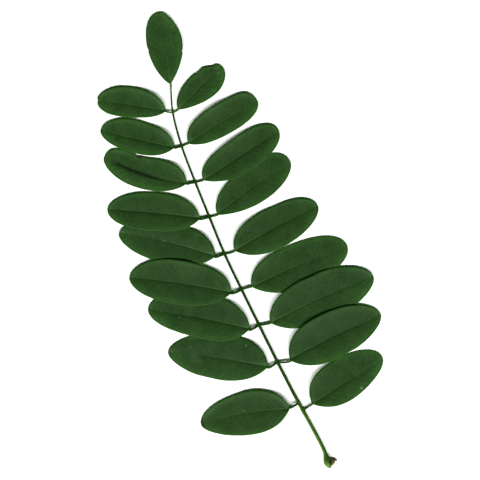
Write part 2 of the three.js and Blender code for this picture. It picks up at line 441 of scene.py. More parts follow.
@dataclass(frozen=True)
class UpperSkin:
    """Waxy cuticle over palisade tissue: a dark, even green with a satin sheen and fine veining."""

    title: str = "waxy_leaf_upper"
    deep: str = "#173010"
    light: str = "#29461d"
    vein: str = "#162e0e"
    rib: str = "#3f6a2a"
    # Painted glow: the thin margin is a saturated green where white paper lies beneath it
    margin: str = "#1b4600"
    margin_over_blade: str = "#203f10"
    bruise: str = "#19140c"
    fleck: str = "#86a780"
    patch_mm: float = 6.0
    grain_mm: float = 0.8
    # Real areoles are 0.3 to 0.5 mm across: they are drawn larger so that they show
    areole_mm: float = 0.9
    margin_mm: float = 0.58
    # Share of the spacing between side veins that half a vein's dark line takes
    vein_share: float = 0.08

    def material(self) -> bpy.types.Material:
        """Builds the finish: patches and grain, then veins, midrib, margin and marks over them.

        Returns:
            The material.
        """
        material, tree, place, read = blank_material(
            self.title, "across", "edge", "vein", "reach", "tone_and_painted_shade", "bruise", "fleck", "over"
        )
        away = vein_distances(tree, place, read, self.areole_mm)
        patches = add_node(
            tree, "ShaderNodeTexNoise",
            {"Vector": place, "Scale": per_metre(self.patch_mm), "Detail": 3.0, "Roughness": 0.55},
        )
        grain = add_node(
            tree, "ShaderNodeTexNoise",
            {"Vector": place, "Scale": per_metre(self.grain_mm), "Detail": 2.0, "Roughness": 0.6},
        )
        base_colour = add_node(
            tree, "ShaderNodeMix",
            {MIX_FACTOR: patches, MIX_A: linear(self.deep), MIX_B: linear(self.light)},
            out=MIX_COLOUR, data_type="RGBA",
        )
        speckle = add_node(
            tree, "ShaderNodeMapRange",
            {"Value": grain, "From Min": 0.25, "From Max": 0.75, "To Min": 0.74, "To Max": 1.26},
        )
        # The blade's tone carries painted shade beside the midrib and in the crevice
        brightness = add_node(
            tree, "ShaderNodeMath", {0: speckle, 1: read["tone_and_painted_shade"]}, operation="MULTIPLY"
        )
        colour = add_node(
            tree, "ShaderNodeVectorMath", {0: base_colour, "Scale": brightness}, operation="SCALE"
        )
        # Each line is drawn where a distance is small: (distance, width, strength)
        lines = {
            "net": (away["net"], 0.12, 0.2),
            "vein": (away["vein"], self.vein_share, 0.5),
            "rib": (away["rib"], 0.3, 0.45),
            "margin": (read["edge"], self.margin_mm * 2, 0.95),
        }
        drawn = {
            name: add_node(
                tree, "ShaderNodeMapRange",
                {"Value": distance, "From Min": width * 0.15, "From Max": width,
                 "To Min": strength, "To Max": 0.0},
                interpolation_type="SMOOTHSTEP",
            )
            for name, (distance, width, strength) in lines.items()
        }
        # Side veins fade before the margin, the midrib fades from the blade's base to its tip, and
        # the margin's line is weaker in the distal half
        fades = {
            "vein": (read["edge"], 0.5, 2.5, 0.0, 1.0),
            "rib": (read["reach"], 0.05, 0.5, 1.0, 0.0),
            "margin": (read["across"], -0.5, 0.5, 1.0, 0.75),
        }
        for name, (value, low, high, at_low, at_high) in fades.items():
            fade = add_node(
                tree, "ShaderNodeMapRange",
                {"Value": value, "From Min": low, "From Max": high, "To Min": at_low,
                 "To Max": at_high},
            )
            drawn[name] = add_node(
                tree, "ShaderNodeMath", {0: drawn[name], 1: fade}, operation="MULTIPLY"
            )
        # Painted glow of light through the thin margin where paper lies beneath it, duller over
        # another blade
        margin_and_glow_colour = add_node(
            tree, "ShaderNodeMix",
            {MIX_FACTOR: read["over"], MIX_A: linear(self.margin),
             MIX_B: linear(self.margin_over_blade)},
            out=MIX_COLOUR, data_type="RGBA",
        )
        layers = [
            (drawn["net"], linear(self.vein)), (drawn["vein"], linear(self.vein)),
            (drawn["rib"], linear(self.rib)), (drawn["margin"], margin_and_glow_colour),
            (read["bruise"], linear(self.bruise)), (read["fleck"], linear(self.fleck)),
        ]
        height = add_node(
            tree, "ShaderNodeMath", {0: drawn["net"], 1: -3.0, 2: grain}, operation="MULTIPLY_ADD"
        )
        roughness = add_node(
            tree, "ShaderNodeMapRange",
            {"Value": patches, "From Min": 0.3, "From Max": 0.7, "To Min": 0.48, "To Max": 0.6},
        )
        complete(
            tree, colour, layers, {"Height": height, "Strength": 0.4, "Distance": 0.04 * MM},
            {"Roughness": roughness, "IOR": TISSUE_IOR, "Specular IOR Level": 0.12},
        )
        return material


@dataclass(frozen=True)
class UnderSkin:
    """Matt underside of a blade, with a pale bloom of wax crystals that greys its green."""

    title: str = "pale_leaf_underside"
    green: str = "#5f8158"
    bloom: str = "#84a07c"
    vein: str = "#9db189"
    patch_mm: float = 4.0
    areole_mm: float = 0.9

    def material(self) -> bpy.types.Material:
        """Builds the finish: two greens in patches, with the raised veins paler than both.

        Returns:
            The material.
        """
        material, tree, place, read = blank_material(self.title, "across", "vein")
        away = vein_distances(tree, place, read, self.areole_mm)
        patches = add_node(
            tree, "ShaderNodeTexNoise",
            {"Vector": place, "Scale": per_metre(self.patch_mm), "Detail": 4.0},
        )
        layers = [(patches, linear(self.bloom))]
        for name, width, strength in (("net", 0.14, 0.25), ("vein", 0.08, 0.6), ("rib", 0.45, 0.9)):
            share = add_node(
                tree, "ShaderNodeMapRange",
                {"Value": away[name], "From Min": 0.0, "From Max": width, "To Min": strength,
                 "To Max": 0.0},
                interpolation_type="SMOOTHSTEP",
            )
            layers.append((share, linear(self.vein)))
        complete(
            tree, linear(self.green), layers,
            {"Height": away["net"], "Strength": 0.5, "Distance": 0.05 * MM},
            {"Roughness": 0.75, "IOR": TISSUE_IOR, "Specular IOR Level": 0.15}, inward=True,
        )
        return material


@dataclass(frozen=True)
class StalkSkin:
    """Green ribbed skin of the stalks: fresher and shinier than the blades, paler at the foot."""

    title: str = "ribbed_green_stalk"
    green: str = "#1d4006"
    dark: str = "#143304"
    # Painted shade: the darker green along the stalk's middle stretch
    shaded: str = "#0d2a04"
    pale: str = "#678a3a"
    # Near-black of the torn hollow: dark tissue, partly painted shade in the recess
    torn: str = "#141508"
    patch_mm: float = 5.0

    def material(self) -> bpy.types.Material:
        """Builds the finish: streaks, a paler foot, painted light and shade, brown in the hollow.

        Returns:
            The material.
        """
        material, tree, place, read = blank_material(
            self.title, "up", "along", "pale_and_painted_light", "shaded", "hollow"
        )
        # Streaks are noise squeezed across the stalk and drawn out along it
        streak_place = add_node(
            tree, "ShaderNodeCombineXYZ", {"X": read["up"], "Y": read["along"]}
        )
        streaks = add_node(
            tree, "ShaderNodeTexNoise", {"Vector": streak_place, "Scale": 0.9, "Detail": 3.0}
        )
        patches = add_node(
            tree, "ShaderNodeTexNoise",
            {"Vector": place, "Scale": per_metre(self.patch_mm), "Detail": 3.0},
        )
        # The pale colour is partly painted light on the stalk's lit left side
        mottled = add_node(
            tree, "ShaderNodeMath", {0: read["pale_and_painted_light"], 1: patches}, operation="MULTIPLY"
        )
        layers = [
            (streaks, linear(self.green)), (read["shaded"], linear(self.shaded)),
            (mottled, linear(self.pale)), (read["hollow"], linear(self.torn)),
        ]
        ribs = add_node(
            tree, "ShaderNodeTexNoise",
            {"Vector": streak_place, "Scale": 3.0, "Detail": 2.0},
        )
        complete(
            tree, linear(self.dark), layers,
            {"Height": ribs, "Strength": 0.5, "Distance": 0.04 * MM},
            {"Roughness": 0.45, "IOR": TISSUE_IOR, "Specular IOR Level": 0.04},
        )
        return material


@dataclass(frozen=True)
class TornTissue:
    """Torn woody tissue of the foot: dry brown and yellow fibres, rough and without shine."""

    title: str = "torn_dry_tissue"
    # Near-black at the roots, in the hollow and on the first flap, is partly painted shade
    dark: str = "#10120a"
    brown: str = "#4a4110"
    straw: str = "#7d7436"
    fibre_mm: float = 0.35

    def material(self) -> bpy.types.Material:
        """Builds the finish: dark at the roots of the torn tissue, brown and straw at its ends.

        Returns:
            The material.
        """
        material, tree, place, read = blank_material(self.title, "reach")
        streaks = add_node(
            tree, "ShaderNodeTexNoise",
            {"Vector": place, "Scale": per_metre(self.fibre_mm), "Detail": 4.0},
        )
        colour = add_node(
            tree, "ShaderNodeMix",
            {MIX_FACTOR: streaks, MIX_A: linear(self.brown), MIX_B: linear(self.straw)},
            out=MIX_COLOUR, data_type="RGBA",
        )
        complete(
            tree, linear(self.dark), [(read["reach"], colour)],
            {"Height": streaks, "Strength": 0.8, "Distance": 0.08 * MM},
            {"Roughness": 0.85, "Specular IOR Level": 0.2},
        )
        return material


@dataclass(frozen=True)
class Paper:
    """White matt paper that the leaf lies on."""

    title: str = "white_paper"
    white: str = "#f5f5f4"

    def material(self) -> bpy.types.Material:
        """Builds the finish: one white with a very faint unevenness.

        Returns:
            The material.
        """
        material, tree, place, _ = blank_material(self.title)
        fibres = add_node(tree, "ShaderNodeTexNoise", {"Vector": place, "Scale": per_metre(1.5)})
        complete(
            tree, linear(self.white), [], {"Height": fibres, "Strength": 0.1, "Distance": 0.02 * MM},
            {"Roughness": 0.9, "Specular IOR Level": 0.1},
        )
        return material


@dataclass(frozen=True)
class Nick:
    """A dent or bite in a blade's margin, or a bump where its depth is negative.

    Attributes:
        half: Half of the blade that it is in.
        reach: Its place, as a share of the blade's length.
        depth: How deep it is, in mm.
        width: How far along the margin it spreads each way, in mm.
        bruise: How brown its edge is, from 0 to 1.
    """

    half: Half
    reach: float
    depth: float
    width: float
    bruise: float = 0.0


@dataclass(frozen=True)
class Lift:
    """A stretch of a blade's distal margin that curls up.

    Attributes:
        reach: Its place, as a share of the blade's length.
        height: How far the margin rises, in mm.
        spread: How far along the margin it spreads each way, as a share of the blade's length.
    """

    reach: float
    height: float
    spread: float


@dataclass(frozen=True)
class Mark:
    """A spot on a blade's upper side.

    Attributes:
        reach: Its place, as a share of the blade's length.
        across: Its distance from the midrib in mm, positive in the distal half.
        radius: Its radius, in mm.
        bruise: How brown it is, from 0 to 1.
        fleck: How pale it is, from 0 to 1.
    """

    reach: float
    across: float
    radius: float
    bruise: float = 0.0
    fleck: float = 0.0


@dataclass(frozen=True)
class Measures:
    """A blade's points in its own measures, each as (ring, place round it).

    Attributes:
        t: Share of the blade's length.
        v: Share of the way from midrib to margin, negative in the proximal half.
        face: 1 on the upper side, 0 on a margin and -1 beneath.
        from_rib: Distance from the midrib, in mm.
        across: The same distance, negative in the proximal half.
        edge: Distance from the nearest margin, in mm.
        vein: Place in the order of the side veins, whole on a vein.
    """

    t: Array
    v: Array
    face: Array
    from_rib: Array
    across: Array
    edge: Array
    vein: Array


@dataclass(frozen=True)
class Blade:
    """One leaflet's blade: a thin skin that is folded along its midrib like a shallow gull wing.

    Attributes:
        side: Side of the stalk that it grows on.
        number: 0 for the tip's, from 1 on the left and from 10 on the right, counted from the tip.
        node: Where its stalk leaves the leaf's stalk, in mm from the foot's end.
        base: Where the blade starts, in mm from the foot's end.
        heading: Turn of its midrib from the leaf's axis, in degrees, positive to the left.
        length: Its length, in mm.
        distal: Half widths towards the leaf's tip at STATIONS, in mm.
        proximal: Half widths towards the leaf's foot at STATIONS, in mm.
        bow: How far the midrib bends aside half way along, in mm.
        height: The midrib's height at base, middle and tip, in mm.
        rise: How far the distal and proximal margins stand above the midrib, in mm.
        skew: How far the outline's two ends lie to the distal side of the midrib's line, in mm.
        shade: Brightness of its distal and proximal halves, where 1 is the plain finish.
        fold: How far the midrib lies in a fold, in mm, wide on the foot's side and narrow beyond.
        bulge: How far the distal half swells up half way to its margin, in mm.
        crevice: Twice the depth of a tight crease along the midrib, in mm.
        notch: Depth of a notch in its tip, in mm.
        tip_bruise: How brown its tip is, from 0 to 1.
        lifts: Stretches of its distal margin that curl up.
        nicks: Dents and bites in its margins.
        marks: Spots on its upper side.
        carrier: Of its own stalk, in mm: how far it lies to the foot's side of the straight way,
            how far it stands off the surface half way along, and its radius at its ends.
    """

    side: Side
    number: int
    node: float
    base: tuple[float, float]
    heading: float
    length: float
    distal: tuple[float, float, float, float]
    proximal: tuple[float, float, float, float]
    bow: float
    height: tuple[float, float, float]
    rise: tuple[float, float]
    skew: tuple[float, float] = (0.0, 0.0)
    shade: tuple[float, float] = (1.0, 1.0)
    fold: float = 0.3
    bulge: float = -0.06
    crevice: float = 0.0
    notch: float = 0.0
    tip_bruise: float = 0.0
    lifts: tuple[Lift, ...] = ()
    nicks: tuple[Nick, ...] = ()
    marks: tuple[Mark, ...] = ()
    carrier: tuple[float, float, float] = (0.0, 0.45, 0.36)

    THICKNESS = 0.28
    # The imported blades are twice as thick, so these lie closer to the surface and to each other
    CLOSER = 0.8
    ROUND_MARGIN = 0.16
    # How far the middle of the thickness stays off the surface beyond half the thickness, in mm
    CLEARANCE = 0.05
    # Slope of the rolled margin, and how far in it starts, in mm
    ROLL = {Half.DISTAL: (0.7, 0.5), Half.PROXIMAL: (0.35, 0.4)}
    ROLL_SOFTNESS = 0.1
    # How far the whole blade is raised so that the rolled margins stay clear of what they lie on
    ROLL_LIFT = 0.15
    RISE_DISTANCE = 4.0
    DISTAL_RISE = 0.9
    WAVE = 0.15
    RIPPLE = 0.015
    WAVES = 2.4
    PHASE_STEP = 0.37
    SETTLE = 0.04
    # How far the midrib's base sinks to meet the blade's own stalk, and how far along and across
    DIP = 0.45
    DIP_SIZE = (2.5, 1.3)
    FOLD_WIDTH = 1.8
    # The fold's height beside the midrib, as a share of its depth
    FOLD_SHOULDER = 0.4
    CREVICE_WIDTH = 0.78
    NOTCH_WIDTH = 0.9
    VEIN_SPACING = 3.2
    VEIN_SLANT = 0.7
    VEIN_BEND = 0.03
    # In spacings of side veins: the halves' shift against each other, the unevenness, half a width
    VEIN_SHIFT = 0.37
    VEIN_UNEVENNESS = 0.15
    VEIN_WIDTH = 0.11
    RIB_WIDTH = 0.3
    # How far midrib and side veins sink above, how far they stand out beneath, and how far the
    # tissue swells between side veins, in mm
    SUNK = (0.06, 0.02)
    RAISED = (0.3, 0.04)
    SWELLING = 0.008
    # Painted shade: share of the brightness lost beside the midrib, and in the crevice for each mm
    RIB_SHADE = 0.12
    CREVICE_SHADE = 1.55
    # Brighter bands along the margin: gain, distance from the margin and width in mm
    BAND = (0.2, 1.5, 1.1)
    RIM = (0.14, 1.2, 0.45)
    # Brighter ends of the halves: gain, and the shares of the length where it starts and is full
    TIP_GAIN = {Half.DISTAL: (0.08, 0.8, 0.95), Half.PROXIMAL: (0.35, 0.7, 0.93)}
    # How far in from a nick its brown edge reaches, in mm
    BRUISE_WIDTH = 0.7
    # Shares of the length between which a brown tip begins
    TIP_BRUISE_ENDS = (0.955, 0.99)
    # Blades on each side
    PAIRS = 9
    RINGS = 130
    COLUMNS = 32

    @property
    def name(self) -> str:
        """Name of its piece."""
        pair = (self.number - 1) % self.PAIRS + 1
        return f"leaflet_{self.side.name.lower()}_{pair}" if self.number else "leaflet_tip"

    @property
    def phase(self) -> float:
        """Shift of its waves and veins, as a share of a turn."""
        return (self.number * self.PHASE_STEP) % 1

    def directions(self) -> tuple[Array, Array]:
        """Finds the blade's own two level directions.

        Returns:
            Unit directions along the midrib and towards the distal margin.
        """
        angle = math.radians(self.heading)
        along = np.array([-math.sin(angle), math.cos(angle), 0.0])
        return along, np.array([along[1], -along[0], 0.0]) * self.side.value

    def start(self) -> Array:
        """Where the outline starts, on the level of the surface."""
        return np.array([*self.base, 0.0]) + self.skew[0] * self.directions()[1]

    def rib(self, t: Array) -> Array:
        """How far the midrib lies to the distal side: a parabola, led to the skewed ends."""
        return self.bow * 4 * t * (1 - t) + self.skew[0] * (1 - t) ** 99 + self.skew[1] * t**99

    def margin(self, t: Array, half: Half) -> Array:
        """Distance from the midrib to a margin, in mm.

        The half width is the envelope times the cubic that takes it through the four stated half
        widths. The ends' skew fades with the sixth power of the way, a ripple of two sines runs
        along it, and each nick takes a bell curve off.

        Args:
            t: Shares of the blade's length.
            half: Which margin.

        Returns:
            Distances in mm.
        """
        stated = np.array(self.distal if half is Half.DISTAL else self.proximal)
        cubic = np.polyfit(STATIONS, stated / envelope(STATIONS, half), 3)
        skew = self.skew[0] * (1 - t) ** 6 + self.skew[1] * t**6
        width = envelope(t, half) * np.polyval(cubic, t) + half.value * (skew - self.rib(t))
        shift = 2.6 * self.number + 1.3 * half.value
        ripple = np.sin(self.length * t / 1.3 + shift) + np.sin(self.length * t / 0.7 + 2 * shift)
        width = width + self.RIPPLE * ripple * smooth_step(0, 0.1, t) * smooth_step(1, 0.9, t)
        for nick in self.nicks:
            if nick.half is half:
                width = width - nick.depth * bell(self.length * (t - nick.reach), nick.width)
        return np.maximum(width, 0.02)

    def cover(self, place: Array) -> Array:
        """How far points lie over this blade, seen from above.

        The room is a point's distance across to the nearer margin. It counts as nothing at 0.2 mm
        outside a margin and as full at 0.3 mm inside.

        Args:
            place: Points in mm from the foot's end, with x and y first on the last axis.

        Returns:
            Shares from 0 to 1, one for each point.
        """
        along_way, distal_way = self.directions()
        way = place[..., :2] - self.base
        t = way @ along_way[:2] / self.length
        on_blade = np.clip(t, 0.001, 0.999)
        across = way @ distal_way[:2] - self.rib(on_blade)
        room = np.minimum(
            self.margin(on_blade, Half.DISTAL) - across,
            self.margin(on_blade, Half.PROXIMAL) + across,
        )
        return smooth_step(-0.2, 0.3, room) * (np.abs(t - 0.5) < 0.5)

    def columns(self) -> tuple[Array, Array]:
        """Places round a ring: over the upper side from the proximal margin, and back beneath.

        From midrib to margin they stand at u - 0.75 sin(2 pi u) / (2 pi), closest at both ends.

        Returns:
            For each place, its share of the way from midrib to margin, negative in the proximal
            half, and 1 on the upper side, 0 on a margin or -1 beneath.
        """
        u = np.linspace(0, 1, self.COLUMNS + 1)
        share = u - 0.75 * np.sin(2 * np.pi * u) / (2 * np.pi)
        over = np.concatenate([-share[:0:-1], share])
        v = np.concatenate([over, over[-2:0:-1]])
        face = np.ones(len(v))
        face[len(over):] = -1
        face[[0, len(over) - 1]] = 0
        return v[None, :], face[None, :]

    def measures(self) -> Measures:
        """Lays out the blade's points, closest at its two ends.

        The distance from a margin is the one across, made shorter by the margin's slant. A side
        vein's place along the midrib falls with the distance from it and with that one's square.

        Returns:
            The points' measures.
        """
        v, face = self.columns()
        t = (1 - np.cos(np.pi * np.arange(1, self.RINGS + 1) / (self.RINGS + 1)))[:, None] / 2
        width = np.where(v < 0, self.margin(t, Half.PROXIMAL), self.margin(t, Half.DISTAL))
        from_rib = np.abs(v) * width
        steepness = np.abs(v) * np.gradient(width, axis=0) / np.gradient(t * self.length, axis=0)
        edge = (1 - np.abs(v)) * width / np.sqrt(1 + steepness**2)
        edge = np.minimum(edge, self.length * np.minimum(1 - t, t))
        vein = self.length * t - self.VEIN_SLANT * from_rib - self.VEIN_BEND * from_rib**2
        vein = vein / self.VEIN_SPACING + np.where(v < 0, self.VEIN_SHIFT, 0.0) + self.phase
        vein = vein + self.VEIN_UNEVENNESS * np.sin(1.9 * vein + 6 * self.phase)
        return Measures(t, v, face, from_rib, np.sign(v) * from_rib, edge, vein)

    def crease(self, at: Measures) -> Array:
        """Share of the crevice's depth at each point."""
        lengthwise = smooth_step(0.15, 0.4, at.t) * smooth_step(0.95, 0.8, at.t)
        return lengthwise * bell(at.across + 0.1, self.CREVICE_WIDTH)

    def level(self, at: Measures) -> Array:
        """Finds the height of the middle of the thickness, before it settles on the surface.

        It is the parabola through the three stated heights, plus a wave along the margins that
        grows with the square of the share of the way out. The proximal half rises with
        1 - exp(-distance / 4) and the distal half evenly. The distal half's bulge, the fold, the
        curled stretches, the dip at the base and the crease are added, and the margins roll down.

        Args:
            at: The points' measures.

        Returns:
            Heights in mm.
        """
        t, v = at.t, at.v
        z = parabola(self.height, t)
        z = z + np.where(
            v < 0,
            self.rise[1] * (1 - np.exp(-at.from_rib / self.RISE_DISTANCE)),
            self.rise[0] * self.DISTAL_RISE * v,
        )
        z = z + self.WAVE * v**2 * np.sin(2 * np.pi * (self.WAVES * t + self.phase))
        z = z * self.CLOSER + np.where(v > 0, self.bulge * 4 * v * (1 - v), 0.0)
        sunk = np.where(v < 0, np.exp(-at.from_rib / self.FOLD_WIDTH), 1.0)
        z = z + self.fold * (self.FOLD_SHOULDER - sunk)
        for lift in self.lifts:
            near = bell(t - lift.reach, lift.spread) * v**2
            z = z + lift.height * near * (v > 0)
        dip_along, dip_across = self.DIP_SIZE
        near = np.exp(-((self.length * t / dip_along) ** 2) - (at.from_rib / dip_across) ** 2)
        z = z - self.DIP * near
        z = z - 0.5 * self.crevice * self.crease(at)
        for half, (slope, start) in self.ROLL.items():
            rolled = self.ROLL_SOFTNESS * np.logaddexp(0, (start - at.edge) / self.ROLL_SOFTNESS)
            z = z - np.where(v * half.value > 0, slope * rolled, 0.0)
        return z + self.ROLL_LIFT

    def tone_and_painted_shade(self, at: Measures) -> Array:
        """Finds the brightness: painted shade at the midrib, brighter along the margins and at the
        tip.

        Args:
            at: The points' measures.

        Returns:
            Brightness, where 1 is the plain finish.
        """
        t, v, from_rib = at.t, at.v, at.from_rib
        # Painted shade beside the midrib, mostly on the foot's side
        foot_side = np.where(v < 0, 1, np.exp(-from_rib / 0.4)) * np.exp(-from_rib / 2.6)
        band, rim = (
            gain * bell(at.edge - middle, width) for gain, middle, width in (self.BAND, self.RIM)
        )
        near_margin = band + rim * np.where(v < 0, 1, smooth_step(0.3, 0.6, t))
        tone_and_painted_shade = (1 - self.RIB_SHADE * foot_side) * (1 + near_margin)
        # Painted shade in the crevice
        tone_and_painted_shade = tone_and_painted_shade * (1 - self.CREVICE_SHADE * self.crevice * self.crease(at))
        distal, proximal = (
            1 + gain * smooth_step(low, high, t)
            for gain, low, high in (self.TIP_GAIN[half] for half in Half)
        )
        tone_and_painted_shade = tone_and_painted_shade * np.where(v < 0, proximal, distal)
        distal_share = smooth_step(-0.4, 0.4, at.across)
        return tone_and_painted_shade * (self.shade[1] + (self.shade[0] - self.shade[1]) * distal_share)

    def spots(self, at: Measures) -> tuple[Array, Array]:
        """Finds how brown and how pale the nicks, the marks and the tip make each point.

        Args:
            at: The points' measures.

        Returns:
            Shares of brown and of pale, from 0 to 1.
        """
        bruise, fleck = np.zeros_like(at.edge), np.zeros_like(at.edge)
        for nick in self.nicks:
            away = self.length * (at.t - nick.reach) / nick.width
            near = np.exp(-(away**2) - (at.edge / self.BRUISE_WIDTH) ** 2)
            bruise = np.maximum(bruise, nick.bruise * (near * (at.v * nick.half.value > 0)))
        for mark in self.marks:
            away = np.hypot(self.length * (at.t - mark.reach), at.across - mark.across)
            bruise = np.maximum(bruise, mark.bruise * smooth_step(1.0, 0.4, away / mark.radius))
            fleck = np.maximum(fleck, mark.fleck * bell(away, mark.radius))
        brown_tip = smooth_step(*self.TIP_BRUISE_ENDS, at.t)
        return np.maximum(bruise, self.tip_bruise * brown_tip), fleck

    def skin(self, neighbours: list["Blade"]) -> Skin:
        """Builds the blade.

        It settles on the surface by a smooth maximum, s ln(1 + exp(z / s)). The midrib and the
        side veins sink above and stand out beneath, and the tissue swells between side veins.

        Args:
            neighbours: The blades beside it, which its margins may lie over.

        Returns:
            The closed surface.
        """
        at = self.measures()
        t, v, edge = at.t, at.v, at.edge
        origin = np.array([*self.base, 0.0])
        along_way, distal_way = self.directions()
        across = self.rib(t) + at.across
        notch = self.notch * bell(across, self.NOTCH_WIDTH) * smooth_step(0.8, 1.0, t)
        place = origin + (self.length * t - notch)[..., None] * along_way
        place = place + across[..., None] * distal_way

        half_thickness = self.THICKNESS / 2 * np.sqrt(
            1 - (1 - np.minimum(edge / self.ROUND_MARGIN, 1)) ** 2
        )
        away = np.linalg.norm(place[..., None, :2] - REST_SPOTS, axis=-1).min(axis=-1)
        gap = SURFACE_GAP * np.clip(away / REST_RADIUS - 1, 0, 1)
        lowest = gap + half_thickness + self.CLEARANCE
        z = lowest + self.SETTLE * np.logaddexp(0, (self.level(at) - lowest) / self.SETTLE)

        swelling = self.SWELLING * np.cos(2 * np.pi * at.vein) * smooth_step(0.3, 2.5, edge)
        z = z - swelling * smooth_step(0, 2, at.from_rib)
        near_vein = bell(at.vein - np.round(at.vein), self.VEIN_WIDTH) * smooth_step(0.3, 2.0, edge)
        near_rib = bell(at.from_rib, self.RIB_WIDTH) * (1 - t) ** 0.4
        above = half_thickness - self.SUNK[0] * near_rib - self.SUNK[1] * near_vein
        beneath = -half_thickness - self.RAISED[0] * near_rib - self.RAISED[1] * near_vein
        z = z + np.where(at.face > 0, above, np.where(at.face < 0, beneath, 0))
        place[..., 2] = np.maximum(z, 0.0)

        first = self.start()
        last = origin + self.skew[1] * distal_way + (self.length - self.notch) * along_way
        first[2], last[2] = place[[0, -1], :, 2].mean(axis=1)
        bruise, fleck = self.spots(at)
        values = {
            "across": at.across,
            "edge": edge,
            "vein": at.vein,
            "reach": t,
            "tone_and_painted_shade": self.tone_and_painted_shade(at),
            "bruise": bruise,
            "fleck": fleck,
            # Where a margin lies over a neighbour, its painted glow is dulled
            "over": np.max([0 * z] + [other.cover(place) for other in neighbours], axis=0),
        }
        beneath_faces = np.arange(v.shape[1]) >= 2 * self.COLUMNS
        return Skin(place, np.stack([first, last]), values, beneath_faces)


def envelope(t: Array, half: Half) -> Array:
    """Blunt shape of a half's margin: a power of the way from the base times one from the tip."""
    from_base, from_tip = POWERS[half]
    return t**from_base * (1 - t) ** from_tip


